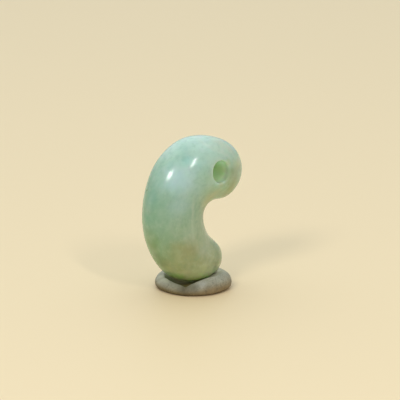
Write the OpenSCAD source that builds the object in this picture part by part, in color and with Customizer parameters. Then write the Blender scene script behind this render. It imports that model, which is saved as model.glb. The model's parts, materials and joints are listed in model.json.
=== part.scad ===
// Magatama, a comma-shaped jade bead drilled through its head, standing on a lump of grey putty.
// Z is up. The bead stands in the XZ plane with its notch towards +X, and its hole runs along Y.
// The origin lies on the surface that the stand rests on, under the middle of the whole.

/* [Bead] */
// Height of the bead, from the underside of its tail to the top of its head
bead_h = 20; // [15:1:30]
// Thickness of the bead where it is thickest, from face to face
bead_t = 8.4; // [6:0.2:10]
// Diameter of the hole through the head
bore_d = 3.0; // [1.6:0.2:3.6]
// Width of the softened lip at each mouth of the hole
lip_w = 0.25; // [0.1:0.05:0.4]

/* [Putty stand] */
// Radius of the putty stand, a round lump
stand_r = 5.1; // [4.8:0.1:6]
// Height of the putty's rim where it is highest, beside the bead
rim_h = 2.2; // [1.8:0.1:3]
// Height at which the putty holds the lowest point of the bead
seat_h = 0.8; // [0.7:0.05:1.2]
// Thickness of the putty in the crease under the bead
crease_h = 0.5; // [0.4:0.05:0.6]
// Clearance between the bead and its seat in the putty
seat_gap = 0.1; // [0.05:0.05:0.2]

/* [Smoothness] */
// Number of rings along the bead
bead_rings = 64; // [40:4:72]
// Number of sides on each ring of the bead
bead_sides = 40; // [24:4:48]
// Number of sides round the stand
stand_sides = 60; // [36:12:72]

/* [Hidden] */

// Sections of the bead, from the tip of its head to the tip of its tail. Each row gives the guide
// points of the outline on the back edge and on the notch edge, and the guide for half of the
// thickness between the faces. The true outline is a smooth curve that runs just inside of them,
// and it is scaled to bead_h and bead_t.
bead_table = [
    // back x, back z, notch x, notch z, half thickness
    [ 8.2, 15.1,  8.2, 15.1, 0.0],
    [ 6.5, 18.9,  7.1, 12.2, 2.8],
    [ 0.4, 20.5,  5.1, 10.9, 4.2],
    [-3.2, 19.1,  3.8, 10.9, 4.3],
    [-6.5, 15.9,  2.2, 11.1, 4.0],
    [-8.0,  9.6,  1.0, 10.3, 3.8],
    [-6.7,  4.3,  1.0,  8.4, 3.8],
    [-3.3,  0.0,  2.2,  5.9, 3.4],
    [ 2.3, -0.2,  4.8,  4.3, 2.2],
    [ 4.7,  1.1,  4.7,  1.1, 0.0]
];

// Axis of the hole, in the table's frame
BORE_X = 1.93;
BORE_Z = 15.61;
// Share of bead_t between the two mouths of the hole, and how far their lips lean with the faces,
// which fall away towards the tip of the head
MOUTH_SHARE = 0.935;
LIP_LEAN = 7;

// The lump of putty every 30 degrees round from FIRST_AZIMUTH. The radii are shares of stand_r and
// the height is a share of rim_h. Hollowness is the power with which the height falls from the rim
// to the middle: low where the putty hugs the bead, and high beside the crease in front of it.
FIRST_AZIMUTH = 11;
stand_table = [
    // outer radius, rim radius, rim height, hollowness
    [1.00, 0.80, 0.77, 0.6],
    [1.00, 0.79, 0.78, 1.5],
    [1.04, 0.78, 0.77, 2.0],
    [1.08, 0.78, 0.77, 2.0],
    [1.01, 0.79, 0.71, 2.0],
    [1.06, 0.80, 0.67, 5.0],
    [1.03, 0.80, 0.62, 7.0],
    [1.06, 0.78, 0.41, 8.0],
    [1.08, 0.75, 0.97, 3.0],
    [1.06, 0.78, 0.96, 1.8],
    [1.04, 0.80, 0.96, 0.8],
    [0.96, 0.80, 0.77, 0.6]
];
// How far towards the notch the middle of the lump lies from the middle of the bead
STAND_X = 0.2;
// Height of the lump's widest place, as a share of its rim's height at that azimuth
WIDEST_SHARE = 0.4;
// How far the lump's edge on the ground lies inside of its widest place, as a share of the rim's
// height
FOOT_SHARE = 0.35;
// Steps of the lump's outline from the ground over its rim, and from the rim to the middle
SIDE_STEPS = 8;
BOWL_STEPS = 8;

BORE_SIDES = 48;

// Weight of a guide point that lies d steps away along the curve
function guide_weight(d) =
    let (a = abs(d))
    a < 1 ? 2/3 - a*a + a*a*a/2 :
    a < 2 ? pow(2 - a, 3)/6 : 0;

// Row number u, whole or not, of the smooth closed curve through a loop of guide rows
function on_curve(loop, u) =
    let (n = len(loop), before = floor(u) - 1)
    [for (c = [0:len(loop[0]) - 1])
        sum([for (i = [before:before + 3]) guide_weight(u - i)*loop[(i + n) % n][c]])];

// Sum of a list, and one column of a list of rows
function sum(v) = v*[for (i = v) 1];
function column(rows, i) = [for (row = rows) row[i]];

// The bead's guide rows as one closed loop of [x, z, half thickness]: out along the back, and home
// along the notch, where the thickness counts as negative
last_section = len(bead_table) - 1;
bead_loop = concat(
    [for (s = bead_table) [s[0], s[1], s[4]]],
    [for (i = [last_section - 1:-1:1]) let (s = bead_table[i]) [s[2], s[3], -s[4]]]
);

// Extent of the curve in the table's own units, and the scales that bring it to its real size
EXTENT_STEPS = 20;
traced = [for (i = [0:EXTENT_STEPS*len(bead_loop) - 1]) on_curve(bead_loop, i/EXTENT_STEPS)];
table_x = (min(column(traced, 0)) + max(column(traced, 0)))/2;
table_z = min(column(traced, 1));
size_scale = bead_h/(max(column(traced, 1)) - table_z);
thickness_scale = bead_t/2/max(column(traced, 2));

// Place across the bead's width, and height, of a place in the table
function place_x(x) = (x - table_x)*size_scale;
function place_z(z) = (z - table_z)*size_scale + seat_h;

// Ring of the bead at row u of its table, with its skin moved out by grow
function bead_ring(u, grow) =
    let (
        back = on_curve(bead_loop, u),
        notch = on_curve(bead_loop, -u),
        middle = (back + notch)/2,
        half = (back - notch)/2,
        reach = 1 + grow/(norm([half[0], half[1]])*size_scale)
    )
    [for (i = [0:bead_sides - 1]) let (a = 360*i/bead_sides) [
        place_x(middle[0] + half[0]*reach*cos(a)),
        (half[2]*thickness_scale + grow)*sin(a),
        place_z(middle[1] + half[1]*reach*cos(a))
    ]];

// Tip of the bead at row u of its table, moved out by grow
function bead_tip(u, grow) =
    let (tip = on_curve(bead_loop, u))
    [place_x(tip[0]) + grow, 0, place_z(tip[1])];

// Triangles that close rings of points, each ring with its number of sides, between two end points
function ring_faces(rings, sides) =
    let (end = 1 + rings*sides)
    concat(
        [for (j = [0:sides - 1]) [0, 1 + j, 1 + (j + 1) % sides]],
        [for (i = [0:rings - 2], j = [0:sides - 1]) let (
            a = 1 + i*sides + j,
            b = 1 + i*sides + (j + 1) % sides
        ) each [[a, b + sides, b], [a, a + sides, b + sides]]],
        [for (j = [0:sides - 1]) [end, end - sides + (j + 1) % sides, end - sides + j]]
    );

module bead_form(grow = 0) {
    points = concat(
        [bead_tip(0, grow)],
        [for (i = [1:bead_rings - 1]) each bead_ring(last_section*i/bead_rings, grow)],
        [bead_tip(last_section, grow)]
    );
    polyhedron(points, ring_faces(bead_rings - 1, bead_sides));
}

// Distance from the lump's middle, and height, at step i of its outline: from its edge on the
// ground round its side and over its rim, then down the bowl inside of the rim to the middle
function stand_outline(i, outer, rim, height, hollow) =
    let (
        widest = WIDEST_SHARE*height,
        turn = 180*i/SIDE_STEPS - 90,
        out = 1 - (i - SIDE_STEPS)/BOWL_STEPS
    )
    i > SIDE_STEPS ? [rim*out, crease_h + (height - crease_h)*pow(out, hollow)] :
    turn < 0 ? [outer - FOOT_SHARE*height*(1 - cos(turn)), widest*(1 + sin(turn))] :
    [rim + (outer - rim)*cos(turn), widest + (height - widest)*sin(turn)];

module stand_form() {
    rings = SIDE_STEPS + BOWL_STEPS;
    around = [for (j = [0:stand_sides - 1]) on_curve(stand_table, len(stand_table)*j/stand_sides)];
    points = [for (i = [0:rings - 1], j = [0:stand_sides - 1]) let (
        azimuth = FIRST_AZIMUTH + 360*j/stand_sides,
        row = around[j],
        place = stand_outline(i, row[0]*stand_r, row[1]*stand_r, row[2]*rim_h, row[3])
    ) [place[0]*cos(azimuth), place[0]*sin(azimuth), place[1]]];
    depth = column(points, 1);
    translate([STAND_X, -(min(depth) + max(depth))/2, 0])
        polyhedron(concat([[0, 0, 0]], points, [[0, 0, crease_h]]), ring_faces(rings, stand_sides));
}

module bead() {
    color("mediumaquamarine")
        difference() {
            bead_form();
            translate([place_x(BORE_X), 0, place_z(BORE_Z)]) {
                rotate([90, 0, 0])
                    cylinder(d = bore_d, h = 2*bead_t, center = true, $fn = BORE_SIDES);
                lip(1);
                lip(-1);
            }
        }
}

// Cone that softens the mouth of the hole on the side towards +Y or -Y. It starts inside of the
// hole, so that it crosses the wall squarely.
module lip(side) {
    translate([0, side*MOUTH_SHARE*bead_t/2, 0]) rotate([-90*side, 0, -LIP_LEAN*side])
        translate([0, 0, -2*lip_w])
            cylinder(r1 = bore_d/2 - lip_w, r2 = bore_d/2 + 2*lip_w, h = 3*lip_w, $fn = BORE_SIDES);
}

module putty_stand() {
    color("gray")
        difference() {
            stand_form();
            bead_form(seat_gap);
        }
}

bead();
putty_stand();
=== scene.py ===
"""A magatama, a comma-shaped bead of mottled green jade, on the lump of grey putty that holds it.

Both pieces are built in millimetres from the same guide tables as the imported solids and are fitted
to the solids' boxes. The bead is a smooth loft with a rounded lip round its cord hole. The putty is
a pressed lump, and the bead sits in it.
"""
import json
import math

import bmesh
import bpy
import numpy as np
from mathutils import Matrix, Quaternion, Vector, noise
from mathutils.bvhtree import BVHTree


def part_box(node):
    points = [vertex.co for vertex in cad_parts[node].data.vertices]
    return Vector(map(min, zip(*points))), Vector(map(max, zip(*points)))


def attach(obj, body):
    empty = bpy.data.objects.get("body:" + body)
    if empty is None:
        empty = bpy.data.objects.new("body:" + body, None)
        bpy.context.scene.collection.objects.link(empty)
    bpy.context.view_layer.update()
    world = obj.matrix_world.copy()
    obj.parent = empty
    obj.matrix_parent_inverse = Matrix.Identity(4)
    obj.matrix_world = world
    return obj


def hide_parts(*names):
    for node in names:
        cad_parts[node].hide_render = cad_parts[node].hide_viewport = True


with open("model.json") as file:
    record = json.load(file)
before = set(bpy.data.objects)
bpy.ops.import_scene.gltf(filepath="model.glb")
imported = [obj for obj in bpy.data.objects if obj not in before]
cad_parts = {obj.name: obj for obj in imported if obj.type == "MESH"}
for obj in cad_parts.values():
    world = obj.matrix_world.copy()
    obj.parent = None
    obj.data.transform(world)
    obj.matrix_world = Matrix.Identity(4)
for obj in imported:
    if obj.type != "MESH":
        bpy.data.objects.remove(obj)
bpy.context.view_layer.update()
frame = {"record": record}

MM = 0.001  # a millimetre in the scene's metres

# Camera: where it stands round the object, what it aims at and how it sees, in degrees and mm.
# Azimuth 0 looks along +Y and 90 along -X.
CAMERA_AZIMUTH, CAMERA_ELEVATION = -37, 15
CAMERA_DISTANCE = 305.8
CAMERA_AIM = (2.46, 1.60, 11.29)
FOCAL_LENGTH, SENSOR_WIDTH = 202.5, 36
CAMERA_CLIP = (0.01, 10)  # in metres

# Lamps whose reflections show on the bead: name, azimuth, elevation, distance, width and height in
# mm, roll in degrees, radiance, colour
LIGHT_AIM = (0, 0, 11)
LIGHTS = [
    ("lamp_left", -67.5, 37.5, 600, 135, 130, 0, 18.5, (1.0, 0.97, 0.92)),
    ("lamp_right", -1, 41.5, 600, 25, 152, -20, 42, (1.0, 0.97, 0.92)),
]
# The room's own light, and the brighter and bluer part of it that comes from a window behind
ROOM_COLOUR, ROOM_STRENGTH = (1.0, 0.95, 0.88), 0.42
WINDOW_COLOUR, WINDOW_STRENGTH = (0.84, 0.95, 1.0), 1.5
WINDOW_AZIMUTH, WINDOW_ELEVATION = 150, 60
WINDOW_CORE, WINDOW_EDGE = 10, 65  # degrees from its middle, between which it fades

# Floor: its reach in metres, its colour as a screen shows it, and its roughness
FLOOR_REACH, FLOOR_COLOUR, FLOOR_ROUGHNESS = 3.0, (234, 212, 172), 0.6

# Bead: sections from the tip of its head to the tip of its tail, as guide points of the outline on
# the back edge and on the notch edge, and the guide for half of the thickness.
BEAD_TABLE = np.array([
    # back x, back z, notch x, notch z, half thickness
    [8.2, 15.1, 8.2, 15.1, 0.0],
    [6.5, 18.9, 7.1, 12.2, 2.8],
    [0.4, 20.5, 5.1, 10.9, 4.2],
    [-3.2, 19.1, 3.8, 10.9, 4.3],
    [-6.5, 15.9, 2.2, 11.1, 4.0],
    [-8.0, 9.6, 1.0, 10.3, 3.8],
    [-6.7, 4.3, 1.0, 8.4, 3.8],
    [-3.3, 0.0, 2.2, 5.9, 3.4],
    [2.3, -0.2, 4.8, 4.3, 2.2],
    [4.7, 1.1, 4.7, 1.1, 0.0],
])
BEAD_RINGS, BEAD_SIDES = 240, 144
EXTENT_SAMPLES = 2000  # along the outline, to find how far it reaches
SECTION_SPACING = 3.5  # between two sections, along the middle of the bead
HOLE_SECTION = 2.0  # row of the table where the search for the hole's axis starts
SEARCH_STEP, SEARCH_ROUNDS = 1e-5, 12
HOLE_COLLAR = 0.75  # width of the band round the hole's lip where the mesh is laid out afresh
COLLAR_STEPS, LIP_STEPS, BORE_STEPS = 9, 8, 48
SLOPE_REACH = 0.05  # how far beyond the lip the slope of the face is taken
LIP, LIP_WEAR = 0.15, 0.4  # radius of the softened lip, and how much wider it is worn towards +X
POLISH_WAVE, POLISH_WAVELENGTH = 0.02, 4.0  # the slight unevenness of a surface polished by hand

# Putty: every 30 degrees round from FIRST_AZIMUTH, the radii as shares of the lump's radius, the
# height as a share of the highest rim, and the power with which it falls from the rim inwards.
# Azimuths on the lump count from +X towards +Y.
FIRST_AZIMUTH = 11
STAND_TABLE = np.array([
    # outer radius, rim radius, rim height, hollowness
    [1.00, 0.80, 0.77, 0.6],
    [1.00, 0.79, 0.78, 1.5],
    [1.04, 0.78, 0.77, 2.0],
    [1.08, 0.78, 0.77, 2.0],
    [1.01, 0.79, 0.71, 2.0],
    [1.06, 0.80, 0.67, 5.0],
    [1.03, 0.80, 0.62, 7.0],
    [1.06, 0.78, 0.41, 8.0],
    [1.08, 0.75, 0.97, 3.0],
    [1.06, 0.78, 0.96, 1.8],
    [1.04, 0.80, 0.96, 0.8],
    [0.96, 0.80, 0.77, 0.6],
])
# Height of the lump's widest place, and how far its edge on the ground lies inside of that, both as
# shares of the rim's height, and the height of the bowl's middle
WIDEST_SHARE, FOOT_SHARE, CREASE_HEIGHT = 0.4, 0.35, 0.5
# Notches in the lump's rim, where it was pinched: azimuth, half width in degrees, and depth
NOTCHES = [(217.5, 6, 0.26), (160, 2.5, 0.15)]
STAND_SIDES, SIDE_RINGS, BOWL_RINGS = 360, 40, 70
SEAT_GAP = 0.03  # clearance between the putty and the bead's underside
SEAT_BLEND = 0.2  # how softly the putty turns over where it meets the bead
# Relief of the putty's skin: height and wavelength of each layer, and the height above the ground
# from which it is full
PUTTY_RELIEF = [(0.06, 2.2), (0.03, 0.9), (0.02, 0.35)]
RELIEF_FULL_FROM = 0.3

# Colours of the jade and the putty are given as a screen shows them, from 0 to 255. Factors are
# multiplied with the colour below them. JADE_BODY and PUTTY_BODY are stops of a colour ramp.
# JADE_LAYERS and PUTTY_LAYERS are laid over the body in turn. A layer has what its noise follows,
# the noise's scale, detail, roughness and distortion, the noise's values where the layer starts and
# is full, and the layer's strength and colour.

# The jade
JADE_ROUGHNESS, JADE_IOR = 0.19, 1.6
# Reach of red, green and blue light under the skin, as shares of a depth
SCATTER, SCATTER_DEPTH = (0.7, 1.0, 0.7), 4
# Specular level of the stone and of the dull lip of the hole, and the distances beyond the hole's
# radius where the lip's ends and is full
SHEEN, LIP_SHEEN = 0.5, 0.15
LIP_SHEEN_ENDS, LIP_SHEEN_FULL = 0.5, 0.1
WAVER_SCALE, FINE_WAVER_SCALE = 0.12, 0.35  # of the noises that make edges waver
# A ramp up the bead's height, olive at the bottom and pale bluish green at the top. It is partly the
# stone's own tone and partly painted light: cool light from above and warm light bounced from below.
JADE_BODY = [
    (0.10, (172, 172, 124)),
    (0.35, (164, 178, 144)),
    (0.60, (156, 186, 166)),
    (0.85, (164, 198, 186)),
    (1.00, (174, 204, 194)),
]
JADE_BODY_HEIGHT, JADE_BODY_WAVER = 21.0, 0.2  # height that counts as 1, and how it wavers
# The greener back edge: its colour and strength, how its limit wavers, and the places along X where
# it starts and is full
JADE_BACK, JADE_BACK_STRENGTH, JADE_BACK_WAVER = (112, 158, 130), 0.55, 2.0
JADE_BACK_STARTS, JADE_BACK_FULL = -1.5, -6.5
JADE_LAYERS = [
    # paler clouds
    ("place", 0.22, 2.5, 0.55, 0.3, 0.42, 0.75, 0.30, (196, 212, 204)),
    # deep green and milky streaks, and threads
    ("grain", 0.5, 5, 0.60, 0.6, 0.42, 0.78, 0.26, (112, 158, 132)),
    ("shifted grain", 0.8, 5, 0.60, 0.6, 0.45, 0.80, 0.25, (204, 216, 204)),
    ("grain", 2.0, 4, 0.65, 0, 0.45, 0.75, 0.15, (118, 156, 138)),
    # darker and paler mottle
    ("place", 1.5, 4, 0.60, 0, 0.48, 0.70, 0.22, (118, 156, 138)),
    ("place", 1.5, 4, 0.60, 0, 0.48, 0.30, 0.12, (206, 222, 210)),
]
GRAIN_DRAWN_OUT = (1, 0.8, 0.45)  # scale of the streaks across, through and along the grain
GRAIN_SHIFT = (40, 0, 0)  # keeps the milky streaks apart from the green ones
# Olive factor of painted shade and warm light bounced from below, where the stone faces down, its
# share, and the normal's Z where it is full
UNDERSIDE_SHADE_FACTOR, UNDERSIDE_SHADE_SHARE, UNDERSIDE_SHADE_FULL = (0.92, 0.96, 0.70, 1), 0.5, -0.5
# The wall of the hole, painted paler as light that comes through the stone: its colour at its foot
# and at its top, and the heights between which that changes. It ends and is full at two distances
# from the middle of the bead, and at two distances beyond the hole's radius.
WALL_GLOW_COLOURS, WALL_HEIGHTS = ((221, 231, 209), (226, 252, 236)), (16.2, 17.8)
WALL_ENDS, WALL_FULL = 3.75, 2.5
WALL_ENDS_BEYOND, WALL_FULL_BEYOND = 0.12, 0.03

# Clouds in the jade, partly its own mottle and partly painted light and shade: place, radius in mm,
# strength and colour
CLOUD_WOBBLE = 3.0  # twice how far their edges can waver
CLOUDS_AND_PAINTED_LIGHT = [
    # the face and the top of the head, with a painted bluish reflection of the room's light
    ((-4.9, -2.6, 16.4), 3.0, 0.65, (190, 222, 230)),
    ((-3.6, -3.2, 15.6), 2.8, 0.38, (180, 210, 226)),
    ((-1.8, -3.4, 18.0), 2.2, 0.40, (180, 219, 230)),
    ((-3.0, -2.7, 18.3), 1.6, 0.30, (140, 210, 212)),
    ((-4.6, -1.5, 18.1), 1.5, 0.30, (112, 172, 160)),
    ((-3.1, -3.5, 16.5), 1.4, 0.25, (200, 226, 228)),
    ((-2.8, -1.5, 19.4), 2.1, 0.30, (118, 174, 160)),
    ((0.4, -3.1, 19.1), 2.4, 0.30, (198, 224, 222)),
    ((2.9, -1.9, 20.2), 2.4, 0.30, (208, 194, 156)),
    ((4.7, -2.2, 19.0), 1.4, 0.22, (226, 188, 152)),
    ((5.4, -2.9, 17.1), 1.6, 0.50, (220, 216, 190)),
    # round the hole, with painted shade on the lit side of the mouth and over the lip's glint
    ((0.0, -4.1, 15.9), 1.2, 0.22, (140, 164, 124)),
    ((4.5, -3.3, 15.9), 2.6, 0.60, (158, 168, 132)),
    ((3.5, -3.6, 16.1), 1.3, 0.60, (126, 147, 113)),
    ((3.2, -3.5, 17.7), 1.0, 0.45, (174, 174, 126)),
    ((3.2, -3.8, 15.4), 0.9, 0.70, (122, 148, 92)),
    ((2.0, -3.7, 14.9), 0.7, 0.60, (168, 172, 112)),
    # under the head, beside the notch, with painted warm light bounced from below
    ((0.3, -3.3, 12.8), 2.6, 0.40, (210, 195, 156)),
    ((1.2, -3.8, 13.8), 1.4, 0.24, (214, 196, 176)),
    ((4.0, -3.1, 13.3), 2.7, 0.55, (154, 148, 78)),
    # along the back edge
    ((-6.5, -2.2, 12.4), 3.2, 0.30, (112, 164, 142)),
    ((-6.2, -1.3, 15.2), 2.2, 0.20, (136, 192, 194)),
    ((-7.0, -0.7, 7.6), 2.2, 0.32, (102, 144, 72)),
    ((-6.0, 0.4, 16.8), 1.6, 0.25, (116, 168, 154)),
    ((-6.9, -0.4, 6.8), 2.0, 0.25, (124, 140, 80)),
    ((-7.3, 0.0, 10.6), 2.0, 0.45, (104, 164, 140)),
    ((-7.0, -0.3, 13.5), 2.0, 0.30, (110, 172, 166)),
    # the belly
    ((-5.0, -3.4, 12.7), 2.6, 0.34, (174, 206, 222)),
    ((-0.2, -3.3, 6.4), 2.3, 0.25, (186, 202, 202)),
    ((-4.6, -3.2, 6.2), 2.4, 0.28, (160, 152, 88)),
    ((-3.3, -3.5, 6.0), 3.0, 0.22, (176, 156, 102)),
    ((-2.7, -3.6, 6.0), 2.2, 0.35, (140, 150, 110)),
    ((-5.3, -3.3, 9.7), 1.8, 0.15, (200, 206, 196)),
    ((-4.2, -3.6, 11.8), 2.0, 0.15, (110, 156, 130)),
    # the tail and the underside, with painted light on the bottom, which the putty shades
    ((-0.6, -2.2, 1.7), 3.3, 1.00, (244, 252, 216)),
    ((-3.3, -2.3, 2.9), 1.4, 0.50, (226, 222, 196)),
    ((1.8, -1.9, 1.6), 2.4, 1.00, (240, 252, 224)),
    ((-3.8, -1.8, 1.5), 1.8, 0.80, (140, 200, 112)),
    ((-4.3, -0.3, 2.4), 1.6, 0.75, (84, 124, 48)),
    ((-6.0, -0.8, 4.6), 2.0, 0.50, (84, 116, 56)),
    ((2.6, -2.5, 4.4), 1.7, 0.45, (118, 140, 108)),
    ((2.2, -2.5, 3.2), 1.4, 0.35, (120, 136, 92)),
    ((-5.0, -1.8, 4.2), 2.0, 0.18, (206, 178, 136)),
    # the far face
    ((3.5, 3.0, 16.5), 3.0, 0.35, (196, 214, 206)),
    ((-5.5, 3.0, 8.5), 3.2, 0.35, (186, 212, 204)),
]

# Veins: a place in (x, z), direction in degrees from +X, half width, reach, strength and colour
VEINS = [
    ((2.2, 19.1), -34, 0.45, 3.2, 0.25, (214, 216, 206)),
    ((-2.5, 10.4), 90, 0.50, 3.6, 0.20, (200, 212, 200)),
    ((-5.4, 5.5), 115, 0.40, 3.5, 0.12, (104, 150, 122)),
]
VEIN_WAVER, VEIN_CORE = 0.5, 0.6  # how far they waver, and the share of their reach that is full
VEIN_NOISE = (0.2, 0.8)  # values of the noise where they waver furthest
# A dark speck in the bead's back edge
SPECK, SPECK_RADIUS, SPECK_STRENGTH, SPECK_COLOUR = (-6.9, 0.9, 14.3), 0.22, 0.7, (70, 90, 70)
SPECK_CORE = 0.4  # the share of its radius that is full

# The putty's skin
PUTTY_ROUGHNESS = 0.85
# Scale, strength and depth of its fine grain, which is shading only
SKIN_SCALE, SKIN_BUMP, SKIN_DEPTH = 6.0, 0.5, 0.05
PUTTY_BODY_SCALE = 0.8
PUTTY_BODY = [
    (0.3, (146, 147, 130)),
    (0.7, (174, 174, 156)),
]
PUTTY_LAYERS = [
    # dark speckles and pale flecks
    ("place", 3.4, 3, 0.70, 0, 0.50, 0.66, 0.40, (92, 92, 84)),
    ("place", 7.0, 1, 0.55, 0, 0.62, 0.70, 0.40, (190, 190, 178)),
]
# The putty is browner and darker towards the ground, as painted shade and painted warm light bounced
# from the floor: factors at the left and at the right, and the places along X between which they
# change
LOW_SHADE_FACTORS, LOW_CHANGE = ((0.45, 0.36, 0.21, 1), (0.76, 0.61, 0.46, 1)), (-4.5, -1.5)
# Height where this starts: in the middle, how it rises towards +X, and at least
LOW_STARTS, LOW_STARTS_RISE, LOW_STARTS_LEAST = 1.75, 0.13, 1.3
# Height where it is full: in the middle, at both sides, and how far out the sides begin
LOW_FULL_MIDDLE, LOW_FULL_SIDES, LOW_SIDES = 0.9, 0.3, 3
# Along the foot there is a darker band, a painted contact shadow: its factor, its share, and where
# it starts and is full
FOOT_SHADOW_FACTOR, FOOT_SHADOW_SHARE, FOOT_STARTS, FOOT_FULL = (0.4, 0.3, 0.15, 1), 0.8, 0.35, 0.05
# The crease is the part of the bowl that lies open in front. It is olive and darker, as painted
# shade under the bead, by factors at the left and at the right that stay inside of the bowl. Radii
# tell where crease and bowl end and are full.
CREASE, CREASE_ENDS, CREASE_FULL = (-2.9, -0.2, 0.8), 4.0, 2.0
CREASE_SHADE_FACTORS, CREASE_CHANGE = ((0.43, 0.52, 0.21, 1), (1.0, 1.0, 0.50, 1)), (-2.8, -1.0)
BOWL, BOWL_ENDS, BOWL_FULL = (0.2, 0, 0.8), 4.2, 3.9
# Paler and darker places in the putty, like the clouds in the jade: partly its own tone, and partly
# painted light where the bead shades it and painted shade low on its front
PATCHES_AND_PAINTED_LIGHT = [
    ((-4.0, 0.6, 1.6), 1.6, 0.8, (206, 208, 186)),
    # painted light where the bead's tail shades the putty
    ((3.4, -1.6, 2.0), 1.6, 0.7, (206, 208, 186)),
    ((-3.7, 2.2, 1.5), 1.0, 0.35, (226, 228, 204)),
    ((-1.2, -5.1, 1.2), 1.0, 0.5, (112, 106, 84)),
    ((-1.7, -4.3, 1.5), 1.1, 0.35, (194, 194, 192)),
    # painted shade low on the front
    ((-2.8, -4.05, 1.2), 1.2, 0.9, (112, 110, 94)),
    ((-3.4, -3.0, 1.1), 1.7, 0.70, (104, 98, 76)),
    ((-0.3, -4.9, 1.7), 1.0, 0.3, (120, 114, 98)),
    ((-4.8, 0.4, 1.0), 1.0, 0.4, (124, 122, 106)),
    # painted light where the bead's tail shades the putty
    ((3.7, -0.7, 1.7), 1.2, 0.9, (236, 240, 220)),
    ((2.3, -4.5, 1.7), 1.1, 0.25, (136, 124, 100)),
    # painted light in the shaded crease under the bead
    ((-0.1, 0.3, 0.5), 1.6, 0.7, (190, 226, 190)),
]

SHARE_IN, COLOUR_A, COLOUR_B, COLOUR_OUT = 0, 6, 7, 2  # numbers of a Mix node's sockets


def direction(azimuth, elevation):
    """Unit vector towards something at that azimuth and elevation, in degrees."""
    a, e = math.radians(azimuth), math.radians(elevation)
    return Vector((math.sin(a) * math.cos(e), -math.cos(a) * math.cos(e), math.sin(e)))


def put_aimed(obj, azimuth, elevation, distance, aim, roll=0):
    """Links obj at a distance from the aim, in mm, turned towards the aim and rolled."""
    back = direction(azimuth, elevation)
    obj.location = (Vector(aim) + back * distance) * MM
    turn = (-back).to_track_quat("-Z", "Y") @ Quaternion((0, 0, 1), math.radians(roll))
    obj.rotation_euler = turn.to_euler()
    bpy.context.scene.collection.objects.link(obj)


def make_camera():
    camera = bpy.data.objects.new("camera", bpy.data.cameras.new("camera"))
    camera.data.lens, camera.data.sensor_width = FOCAL_LENGTH, SENSOR_WIDTH
    camera.data.clip_start, camera.data.clip_end = CAMERA_CLIP
    put_aimed(camera, CAMERA_AZIMUTH, CAMERA_ELEVATION, CAMERA_DISTANCE, CAMERA_AIM)
    bpy.context.scene.camera = camera


def make_lights():
    for name, azimuth, elevation, distance, width, height, roll, radiance, colour in LIGHTS:
        lamp = bpy.data.lights.new(name, "AREA")
        lamp.shape = "RECTANGLE"
        lamp.size, lamp.size_y = width * MM, height * MM
        lamp.energy = radiance * math.pi * lamp.size * lamp.size_y
        lamp.color = colour
        put_aimed(bpy.data.objects.new(name, lamp), azimuth, elevation, distance, LIGHT_AIM, roll)
    bpy.context.scene.world = make_room()
    bpy.context.scene.view_settings.view_transform = "Standard"


def make_room():
    """World whose light is even, apart from a soft window."""
    world = bpy.data.worlds.new("room")
    world.use_nodes = True
    nodes, links = world.node_tree.nodes, world.node_tree.links
    towards = nodes.new("ShaderNodeVectorMath")
    towards.operation = "DOT_PRODUCT"
    towards.inputs[1].default_value = direction(WINDOW_AZIMUTH, WINDOW_ELEVATION)
    links.new(nodes.new("ShaderNodeTexCoord").outputs["Generated"], towards.inputs[0])
    fade = nodes.new("ShaderNodeMapRange")
    fade.interpolation_type = "SMOOTHSTEP"
    fade.inputs["From Min"].default_value = math.cos(math.radians(WINDOW_EDGE))
    fade.inputs["From Max"].default_value = math.cos(math.radians(WINDOW_CORE))
    links.new(towards.outputs["Value"], fade.inputs["Value"])
    glow = nodes.new("ShaderNodeMix")
    glow.data_type = "RGBA"
    glow.inputs[COLOUR_A].default_value = (*(c * ROOM_STRENGTH for c in ROOM_COLOUR), 1)
    glow.inputs[COLOUR_B].default_value = (*(c * WINDOW_STRENGTH for c in WINDOW_COLOUR), 1)
    links.new(fade.outputs["Result"], glow.inputs["Factor"])
    links.new(glow.outputs[COLOUR_OUT], nodes["Background"].inputs["Color"])
    return world


def guide_weight(d):
    """Weight of a guide row that lies d rows away along the curve."""
    a = np.abs(d)
    return np.where(a < 1, 2 / 3 - a**2 + a**3 / 2, np.where(a < 2, (2 - a) ** 3 / 6, 0))


def on_curve(loop, u):
    """Rows u, whole or not, of the smooth closed curve through a loop of guide rows."""
    u = np.asarray(u, float)
    before = np.floor(u).astype(int) - 1
    return sum(
        guide_weight(u - i)[..., None] * loop[i % len(loop)]
        for i in (before + k for k in range(4))
    )


def extent(values):
    """Least and greatest value in each column."""
    return values.min(axis=0), values.max(axis=0)


def bead_loop():
    """The bead's guide rows in mm as one closed loop of [x, z, half thickness]: out along the back
    and home along the notch, where the thickness counts as negative."""
    home = BEAD_TABLE[-2:0:-1]
    loop = np.concatenate([BEAD_TABLE[:, [0, 1, 4]], home[:, [2, 3, 4]] * (1, 1, -1)])
    low, high = extent(on_curve(loop, np.linspace(0, len(loop), EXTENT_SAMPLES)))
    box_low, box_high = np.array(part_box("bead")) / MM
    scale = (box_high[2] - box_low[2]) / (high[1] - low[1])
    loop[:, 0] = (loop[:, 0] - (low[0] + high[0]) / 2) * scale + (box_low[0] + box_high[0]) / 2
    loop[:, 1] = (loop[:, 1] - low[1]) * scale + box_low[2]
    loop[:, 2] *= (box_high[1] - box_low[1]) / 2 / high[2]
    return loop


BEAD_LOOP = bead_loop()
LAST_SECTION = len(BEAD_TABLE) - 1

# The cord hole's axis as (x, z) and its radius, in mm
HOLE = next(m for m in frame["record"]["mounts"] if m["name"] == "cord_bore")
HOLE_AXIS = np.array(HOLE["pos_m"])[[0, 2]] / MM
HOLE_RADIUS = HOLE["dims"]["r_mm"]


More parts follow.
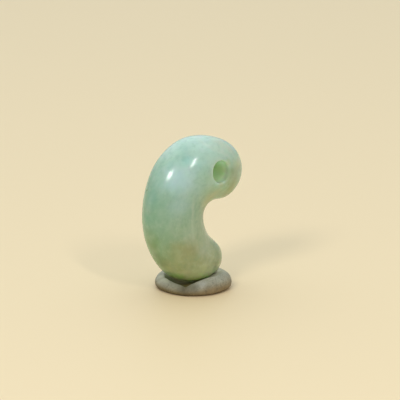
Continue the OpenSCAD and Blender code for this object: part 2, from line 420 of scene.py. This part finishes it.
def section(u):
    """Middle of the bead's section at row u and half of its width as (x, z), and half of its
    thickness. Points of the section lie at middle + half * across, with across from -1 to 1."""
    back, notch = on_curve(BEAD_LOOP, u), on_curve(BEAD_LOOP, -np.asarray(u, float))
    half = (back - notch) / 2
    return (back[..., :2] + notch[..., :2]) / 2, half[..., :2], half[..., 2]


def solve_chart(places, u, across):
    """(u, across) of places given as (x, z), from a first guess, by Newton's method."""
    for _ in range(SEARCH_ROUNDS):
        middle, half, _ = section(u)
        ahead_middle, ahead_half, _ = section(u + SEARCH_STEP)
        ahead = ahead_middle + across[:, None] * ahead_half
        along = (ahead - middle - across[:, None] * half) / SEARCH_STEP
        miss = places - middle - across[:, None] * half
        area = along[:, 0] * half[:, 1] - along[:, 1] * half[:, 0]
        u = u + (miss[:, 0] * half[:, 1] - miss[:, 1] * half[:, 0]) / area
        across = across + (along[:, 0] * miss[:, 1] - along[:, 1] * miss[:, 0]) / area
    return u, across


def in_grain(u, across, depth):
    """Place in the stone's grain, which follows the bead's curve, in mm: across the curve towards
    the back, through the thickness, and along the curve."""
    width = np.linalg.norm(section(u)[1], axis=-1)
    return np.stack(np.broadcast_arrays(across * width, depth, u * SECTION_SPACING), axis=-1)


def build_object(name, points, faces, material, grain=None):
    """A smooth closed mesh from points in mm, with their places in the material's grain if given.
    Points that no face uses are left out."""
    used = sorted({i for face in faces for i in face})
    number = {old: new for new, old in enumerate(used)}
    mesh = bpy.data.meshes.new(name)
    mesh.from_pydata(
        (np.asarray(points)[used] * MM).tolist(), [], [[number[i] for i in f] for f in faces]
    )
    work = bmesh.new()
    work.from_mesh(mesh)
    bmesh.ops.recalc_face_normals(work, faces=work.faces)
    work.to_mesh(mesh)
    work.free()
    mesh.shade_smooth()
    mesh.materials.append(material)
    if grain is not None:
        layer = mesh.attributes.new("grain", "FLOAT_VECTOR", "POINT")
        layer.data.foreach_set("vector", np.asarray(grain)[used].ravel())
    obj = bpy.data.objects.new(name, mesh)
    bpy.context.scene.collection.objects.link(obj)
    return obj


def displace(obj, height):
    """Moves each vertex along its normal by height(place, in mm), also in mm."""
    moves = [v.normal * height(v.co / MM) * MM for v in obj.data.vertices]
    for vertex, move in zip(obj.data.vertices, moves):
        vertex.co += move
    obj.data.update()


def bridge(a, b):
    """Quads between two closed loops of as many vertex numbers."""
    n = len(a)
    return [[a[k], a[(k + 1) % n], b[(k + 1) % n], b[k]] for k in range(n)]


def build_bead(material):
    axis, bore = HOLE_AXIS, HOLE_RADIUS

    # Rings of the loft, with a tip at each end
    angles = 2 * math.pi * np.arange(BEAD_SIDES) / BEAD_SIDES
    ring_u = LAST_SECTION * np.arange(1, BEAD_RINGS) / BEAD_RINGS
    middle, half, thickness = section(ring_u)
    flat = middle[:, None] + half[:, None] * np.cos(angles)[:, None]
    depth = thickness[:, None] * np.sin(angles)
    rings = np.stack([flat[..., 0], depth, flat[..., 1]], axis=-1)
    tips = [
        (p[0], 0, p[1]) for p in (on_curve(BEAD_LOOP, u) for u in (0, LAST_SECTION))
    ]
    points = [*rings.reshape(-1, 3), *tips]
    grain = [
        *in_grain(ring_u[:, None], np.cos(angles), depth).reshape(-1, 3),
        (0, 0, 0), (0, 0, LAST_SECTION * SECTION_SPACING),
    ]
    head_tip, tail_tip = len(points) - 2, len(points) - 1

    def at(i, j):
        return i * BEAD_SIDES + j % BEAD_SIDES

    # The block of cells round the hole on the front, which has its mirror image on the back
    away = np.linalg.norm(flat - axis, axis=-1)
    front = np.sin(angles) < 0
    rows, columns = np.nonzero((away < bore + LIP + LIP_WEAR + HOLE_COLLAR) & front)
    top, bottom = rows.min(), rows.max()
    left, right = columns.min(), columns.max()
    block = (
        [(top, j) for j in range(left, right)]
        + [(i, right) for i in range(top, bottom)]
        + [(bottom, j) for j in range(right, left, -1)]
        + [(i, left) for i in range(bottom, top, -1)]
    )
    faces = []
    for i in range(BEAD_RINGS - 2):
        for j in range(BEAD_SIDES):
            mirrored = BEAD_SIDES - 1 - j
            in_block = top <= i < bottom and (left <= j < right or left <= mirrored < right)
            if not in_block:
                faces.append([at(i, j), at(i, j + 1), at(i + 1, j + 1), at(i + 1, j)])
    for j in range(BEAD_SIDES):
        faces.append([head_tip, at(0, j + 1), at(0, j)])
        faces.append([tail_tip, at(BEAD_RINGS - 2, j), at(BEAD_RINGS - 2, j + 1)])

    # Spokes from the block's edge to the lip, laid on the true surface
    edge = np.array([flat[i, j] for i, j in block])
    spoke = edge - axis
    reach = np.linalg.norm(spoke, axis=1)
    spoke /= reach[:, None]
    edge_u = np.array([ring_u[i] for i, _ in block])
    edge_across = np.cos([angles[j] for _, j in block])
    hole_u, hole_across = solve_chart(axis[None], np.array([HOLE_SECTION]), np.array([0.0]))

    def face_chart(radius):
        share = radius / reach
        return solve_chart(
            axis + spoke * radius[:, None],
            hole_u + (edge_u - hole_u) * share,
            hole_across + (edge_across - hole_across) * share,
        )

    def face_height(radius):
        u, across = face_chart(radius)
        return section(u)[2] * np.sqrt(1 - across**2)

    def add_ring(radius, height):
        """A ring of points round the hole, and their numbers."""
        ring = axis + spoke * radius[:, None]
        height = np.broadcast_to(height, len(block))
        points.extend(np.stack([ring[:, 0], height, ring[:, 1]], axis=-1))
        grain.extend(in_grain(*face_chart(radius), height))
        return list(range(len(points) - len(block), len(points)))

    lip = LIP + LIP_WEAR * np.clip(spoke[:, 0], 0, 1)
    lip_radius = bore + lip
    profile = []  # (radius, height) at each step from the block's edge to the bore's wall
    for k in range(1, COLLAR_STEPS + 1):
        radius = reach + (lip_radius - reach) * k / COLLAR_STEPS
        profile.append((radius, face_height(radius)))
    brink = profile[-1][1]
    slope = (face_height(lip_radius + SLOPE_REACH) - brink) / SLOPE_REACH
    corner = brink - slope * lip
    for t in np.linspace(0, 1, LIP_STEPS + 1)[1:]:
        a, b, c = (1 - t) ** 2, 2 * t * (1 - t), t**2
        radius = a * lip_radius + (b + c) * bore
        profile.append((radius, a * brink + b * corner + c * (corner - lip)))

    def mouth(side):
        """Loops from the block's edge to the bore's wall, on the face towards -Y or +Y."""
        outline = [at(i, -side * j) for i, j in block]
        return [outline, *(add_ring(radius, side * height) for radius, height in profile)]

    front_loops, back_loops = mouth(-1), mouth(1)
    foot_radius, foot = profile[-1]
    wall = [
        add_ring(foot_radius, t * foot) for t in np.linspace(-1, 1, BORE_STEPS + 1)[1:-1]
    ]
    chain = [*front_loops, *wall, *back_loops[::-1]]
    for a, b in zip(chain, chain[1:]):
        faces.extend(bridge(a, b))

    bead = build_object("jade_bead", points, faces, material, grain)
    displace(bead, lambda p: POLISH_WAVE * noise.noise(p / POLISH_WAVELENGTH))
    return bead


def build_putty(bead, material):
    rows = on_curve(STAND_TABLE, len(STAND_TABLE) * np.arange(STAND_SIDES) / STAND_SIDES)
    azimuth = np.radians(FIRST_AZIMUTH + 360 * np.arange(STAND_SIDES) / STAND_SIDES)
    around = np.stack([np.cos(azimuth), np.sin(azimuth)], axis=-1)
    box_low, box_high = np.array(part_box("putty_stand")) / MM
    low, high = extent(around * rows[:, :1])
    radius = (box_high[0] - box_low[0]) / (high[0] - low[0])
    centre = (box_low + box_high)[:2] / 2 - (low + high) / 2 * radius
    outer, rim = rows[:, 0] * radius, rows[:, 1] * radius
    height = rows[:, 2] * box_high[2] / rows[:, 2].max()
    for notch_azimuth, width, depth in NOTCHES:
        height -= depth * np.exp(-(((np.degrees(azimuth) - notch_azimuth) / width) ** 2))
    hollow = rows[:, 3]

    profile = []  # (distance from the middle, height) from the edge on the ground to the middle
    widest = WIDEST_SHARE * height
    for turn in np.radians(np.linspace(-90, 90, SIDE_RINGS + 1)):
        if turn < 0:
            profile.append((
                outer - FOOT_SHARE * height * (1 - math.cos(turn)),
                widest * (1 + math.sin(turn)),
            ))
        else:
            profile.append((
                rim + (outer - rim) * math.cos(turn),
                widest + (height - widest) * math.sin(turn),
            ))
    for out in np.linspace(1, 0, BOWL_RINGS + 1)[1:-1]:
        profile.append((rim * out, CREASE_HEIGHT + (height - CREASE_HEIGHT) * out**hollow))

    points, faces, loops = [], [], []
    for distance, level in profile:
        start = len(points)
        ring = centre + around * distance[:, None]
        points.extend(np.column_stack([ring, level]))
        loops.append(list(range(start, start + STAND_SIDES)))
    for a, b in zip(loops, loops[1:]):
        faces.extend(bridge(a, b))
    points.extend([(*centre, 0), (*centre, CREASE_HEIGHT)])
    ground, bowl = len(points) - 2, len(points) - 1
    for k in range(STAND_SIDES):
        faces.append([ground, loops[0][(k + 1) % STAND_SIDES], loops[0][k]])
        faces.append([bowl, loops[-1][k], loops[-1][(k + 1) % STAND_SIDES]])
    putty = build_object("putty_lump", points, faces, material)

    def relief(p):
        rise = sum(h * noise.noise(p / wavelength) for h, wavelength in PUTTY_RELIEF)
        return rise * min(1, p.z / RELIEF_FULL_FROM)

    displace(putty, relief)
    settle_under(putty, bead)
    return putty


def settle_under(putty, bead):
    """Presses the putty down wherever it would rise into the bead's underside."""
    graph = bpy.context.evaluated_depsgraph_get()
    tree = BVHTree.FromObject(bead, graph)
    for vertex in putty.data.vertices:
        x, y, z = vertex.co
        below_ground = Vector((x, y, -MM))
        hit = tree.ray_cast(below_ground, Vector((0, 0, 1)))[0]
        if hit is not None:
            # The lower of the seat and the putty's own height, with a soft change between them
            seat, blend = hit.z - SEAT_GAP * MM, SEAT_BLEND * MM
            share = min(1, max(0, 0.5 + (seat - z) / (2 * blend)))
            vertex.co.z = max(0, seat + (z - seat) * share - blend * share * (1 - share))
    putty.data.update()


class Finish:
    """A material with a Principled shader, whose nodes are each made in one call."""

    def __init__(self, name):
        self.material = bpy.data.materials.new(name)
        self.material.use_nodes = True
        self.tree = self.material.node_tree
        self.shader = self.tree.nodes["Principled BSDF"]

    def feed(self, socket, value):
        if isinstance(value, bpy.types.NodeSocket):
            self.tree.links.new(value, socket)
        else:
            socket.default_value = value

    def node(self, kind, *inputs, **settings):
        """A new node of that kind. Inputs that are None keep their values."""
        new = self.tree.nodes.new("ShaderNode" + kind)
        for name, value in settings.items():
            setattr(new, name, value)
        for socket, value in zip(new.inputs, inputs):
            if value is not None:
                self.feed(socket, value)
        return new

    def place(self):
        """The place on the object, in mm."""
        scaled = self.node("Mapping", self.node("TexCoord").outputs["Object"])
        scaled.inputs["Scale"].default_value = (1 / MM,) * 3
        return scaled.outputs[0]

    def distance(self, place, centre, flat=False):
        """How far the place is from a centre, or from the line through it along Y if flat."""
        offset = self.node("VectorMath", place, centre, operation="SUBTRACT").outputs[0]
        if flat:
            offset = self.node("VectorMath", offset, (1, 0, 1), operation="MULTIPLY").outputs[0]
        return self.node("VectorMath", offset, operation="LENGTH").outputs["Value"]

    def noise(self, place, scale, detail=3.0, roughness=0.55, distortion=0.0, output="Fac"):
        new = self.node("TexNoise")
        for name, value in {
            "Vector": place, "Scale": scale, "Detail": detail,
            "Roughness": roughness, "Distortion": distortion,
        }.items():
            self.feed(new.inputs[name], value)
        return new.outputs[output]

    def ramp(self, factor, *stops):
        """Colour ramp through stops of (position, colour as a screen shows it)."""
        new = self.node("ValToRGB", factor)
        elements = new.color_ramp.elements
        while len(elements) < len(stops):
            elements.new(1)
        for element, (position, colour) in zip(elements, stops):
            element.position, element.color = position, shown(*colour)
        return new.outputs["Color"]

    def spread(self, value, low, high, to_low=0.0, to_high=1.0):
        """Value from low to high, spread smoothly over to_low to to_high."""
        new = self.node(
            "MapRange", value, low, high, to_low, to_high, interpolation_type="SMOOTHSTEP"
        )
        return new.outputs["Result"]

    def mix(self, share, a, b, blend_type="MIX"):
        new = self.node("Mix", data_type="RGBA", blend_type=blend_type)
        for index, value in ((SHARE_IN, share), (COLOUR_A, a), (COLOUR_B, b)):
            self.feed(new.inputs[index], value)
        return new.outputs[COLOUR_OUT]

    def veil(self, body, share, colour):
        """The body with a share of a colour, as a screen shows it, over it."""
        return self.mix(share, body, shown(*colour))

    def layers(self, body, table, places):
        """The body under layers of noise. Places holds what the table's layers follow."""
        for follows, scale, detail, roughness, distortion, starts, full, strength, colour in table:
            value = self.noise(places[follows], scale, detail, roughness, distortion)
            body = self.veil(body, self.spread(value, starts, full, 0, strength), colour)
        return body

    def clouds(self, body, table, place):
        """The body under round clouds, which fade towards their edges."""
        for centre, radius, strength, colour in table:
            cloud = self.spread(self.distance(place, centre), radius, 0, 0, strength)
            body = self.veil(body, cloud, colour)
        return body

    def maths(self, operation, a, b=0.0):
        return self.node("Math", a, b, operation=operation).outputs[0]

    def bump(self, height, strength, distance):
        new = self.node("Bump")
        for name, value in {"Strength": strength, "Distance": distance, "Height": height}.items():
            self.feed(new.inputs[name], value)
        return new.outputs["Normal"]


def shown(red, green, blue):
    """Linear colour of a colour as a screen shows it, from 0 to 255."""
    return (*(((c / 255 + 0.055) / 1.055) ** 2.4 for c in (red, green, blue)), 1)


def jade():
    f = Finish("jade")
    place = f.place()
    x, y, z = f.node("SeparateXYZ", place).outputs
    waver = f.noise(place, WAVER_SCALE, detail=2)
    waver_fine = f.noise(place, FINE_WAVER_SCALE, detail=2)
    # The ramp up the height is partly the stone's tone and partly painted cool light from above and
    # warm bounced light from below
    level = f.maths("DIVIDE", z, JADE_BODY_HEIGHT)
    level = f.maths("ADD", level, f.maths("MULTIPLY", waver, JADE_BODY_WAVER))
    body = f.ramp(level, *JADE_BODY)
    back = f.maths("ADD", x, f.maths("MULTIPLY", waver, JADE_BACK_WAVER))
    back = f.spread(back, JADE_BACK_STARTS, JADE_BACK_FULL, 0, JADE_BACK_STRENGTH)
    body = f.veil(body, back, JADE_BACK)

    # Clouds, streaks along the stone's grain, and mottle
    grain = f.node("Attribute", attribute_name="grain").outputs["Vector"]
    grain = f.node("VectorMath", grain, GRAIN_DRAWN_OUT, operation="MULTIPLY").outputs[0]
    shifted = f.node("VectorMath", grain, GRAIN_SHIFT, operation="ADD").outputs[0]
    places = {"place": place, "grain": grain, "shifted grain": shifted}
    body = f.layers(body, JADE_LAYERS, places)

    # Noise round 0 in each direction, which makes the edges of the clouds waver
    wobble = f.noise(place, FINE_WAVER_SCALE, output="Color")
    wobble = f.node("VectorMath", wobble, (0.5,) * 3, operation="SUBTRACT").outputs[0]
    wobbly = f.node(
        "VectorMath", wobble, (CLOUD_WOBBLE,) * 3, place, operation="MULTIPLY_ADD"
    ).outputs[0]
    # Clouds that are partly the stone's mottle and partly painted light and shade
    body = f.clouds(body, CLOUDS_AND_PAINTED_LIGHT, wobbly)
    aside = f.spread(waver_fine, *VEIN_NOISE, -VEIN_WAVER, VEIN_WAVER)
    for (vein_x, vein_z), angle, width, reach, strength, colour in VEINS:
        away = f.distance(place, (vein_x, 0, vein_z), flat=True)
        along = Vector((math.cos(math.radians(angle)), 0, math.sin(math.radians(angle))))
        offset = f.node("VectorMath", place, (vein_x, 0, vein_z), operation="SUBTRACT").outputs[0]
        beside = f.node(
            "VectorMath", offset, along.cross((0, 1, 0)), operation="DOT_PRODUCT"
        ).outputs["Value"]
        vein = f.spread(f.maths("ABSOLUTE", f.maths("ADD", beside, aside)), width, 0)
        vein = f.maths("MULTIPLY", vein, f.spread(away, reach, VEIN_CORE * reach, 0, strength))
        body = f.veil(body, vein, colour)
    speck = f.distance(place, SPECK)
    speck = f.spread(speck, SPECK_RADIUS, SPECK_CORE * SPECK_RADIUS, 0, SPECK_STRENGTH)
    body = f.veil(body, speck, SPECK_COLOUR)

    # Painted shade and warm bounced light: the stone is made more olive where it faces down
    up = f.node("SeparateXYZ", f.node("NewGeometry").outputs["Normal"]).outputs["Z"]
    down = f.spread(up, 0, UNDERSIDE_SHADE_FULL, 0, UNDERSIDE_SHADE_SHARE)
    body = f.mix(down, body, UNDERSIDE_SHADE_FACTOR, blend_type="MULTIPLY")

    # The wall of the hole, painted paler further in, as painted light that comes through the stone
    from_axis = f.distance(place, (HOLE_AXIS[0], 0, HOLE_AXIS[1]), flat=True)
    in_hole = f.spread(from_axis, HOLE_RADIUS + WALL_ENDS_BEYOND, HOLE_RADIUS + WALL_FULL_BEYOND)
    depth = f.spread(f.maths("ABSOLUTE", y), WALL_ENDS, WALL_FULL)
    foot, top = (shown(*colour) for colour in WALL_GLOW_COLOURS)
    wall = f.mix(f.spread(z, *WALL_HEIGHTS), foot, top)
    body = f.mix(f.maths("MULTIPLY", in_hole, depth), body, wall)

    f.feed(f.shader.inputs["Base Color"], body)
    f.shader.inputs["Roughness"].default_value = JADE_ROUGHNESS
    lip_ends, lip_full = HOLE_RADIUS + LIP_SHEEN_ENDS, HOLE_RADIUS + LIP_SHEEN_FULL
    sheen = f.spread(from_axis, lip_ends, lip_full, SHEEN, LIP_SHEEN)
    f.feed(f.shader.inputs["Specular IOR Level"], sheen)
    f.shader.inputs["IOR"].default_value = JADE_IOR
    f.shader.inputs["Subsurface Weight"].default_value = 1.0
    f.shader.inputs["Subsurface Radius"].default_value = SCATTER
    f.shader.inputs["Subsurface Scale"].default_value = SCATTER_DEPTH * MM
    return f.material


def putty_skin():
    f = Finish("putty")
    place = f.place()
    x, _, z = f.node("SeparateXYZ", place).outputs
    body = f.ramp(f.noise(place, PUTTY_BODY_SCALE, detail=3), *PUTTY_BODY)
    body = f.layers(body, PUTTY_LAYERS, {"place": place})
    body = f.clouds(body, PATCHES_AND_PAINTED_LIGHT, place)

    # Painted shade and warm bounced light: browner and darker towards the ground
    starts = f.maths("ADD", f.maths("MULTIPLY", x, LOW_STARTS_RISE), LOW_STARTS)
    starts = f.maths("MAXIMUM", starts, LOW_STARTS_LEAST)
    full = f.spread(f.maths("ABSOLUTE", x), LOW_SIDES, 0, LOW_FULL_SIDES, LOW_FULL_MIDDLE)
    factor = f.mix(f.spread(x, *LOW_CHANGE), *LOW_SHADE_FACTORS)
    body = f.mix(f.spread(z, starts, full), body, factor, blend_type="MULTIPLY")
    # A painted contact shadow along the foot
    band = f.spread(z, FOOT_STARTS, FOOT_FULL, 0, FOOT_SHADOW_SHARE)
    body = f.mix(band, body, FOOT_SHADOW_FACTOR, blend_type="MULTIPLY")

    # Painted shade: olive and darker in the crease under the bead
    crease = f.spread(f.distance(place, CREASE), CREASE_ENDS, CREASE_FULL)
    in_bowl = f.spread(f.distance(place, BOWL), BOWL_ENDS, BOWL_FULL)
    factor = f.mix(f.spread(x, *CREASE_CHANGE), *CREASE_SHADE_FACTORS)
    body = f.mix(f.maths("MULTIPLY", crease, in_bowl), body, factor, blend_type="MULTIPLY")

    f.feed(f.shader.inputs["Base Color"], body)
    f.shader.inputs["Roughness"].default_value = PUTTY_ROUGHNESS
    grain = f.noise(place, SKIN_SCALE, detail=4, roughness=0.7)
    f.feed(f.shader.inputs["Normal"], f.bump(grain, SKIN_BUMP, SKIN_DEPTH * MM))
    return f.material


def build_floor():
    f = Finish("floor")
    f.shader.inputs["Base Color"].default_value = shown(*FLOOR_COLOUR)
    f.shader.inputs["Roughness"].default_value = FLOOR_ROUGHNESS
    mesh = bpy.data.meshes.new("floor")
    signs = ((-1, -1), (1, -1), (1, 1), (-1, 1))
    corners = [(x * FLOOR_REACH, y * FLOOR_REACH, 0) for x, y in signs]
    mesh.from_pydata(corners, [], [(0, 1, 2, 3)])
    mesh.materials.append(f.material)
    floor = bpy.data.objects.new("floor", mesh)
    bpy.context.scene.collection.objects.link(floor)


make_camera()
make_lights()
build_floor()

bead = build_bead(jade())
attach(bead, "root")
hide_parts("bead")

putty = build_putty(bead, putty_skin())
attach(putty, "root")
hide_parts("putty_stand")
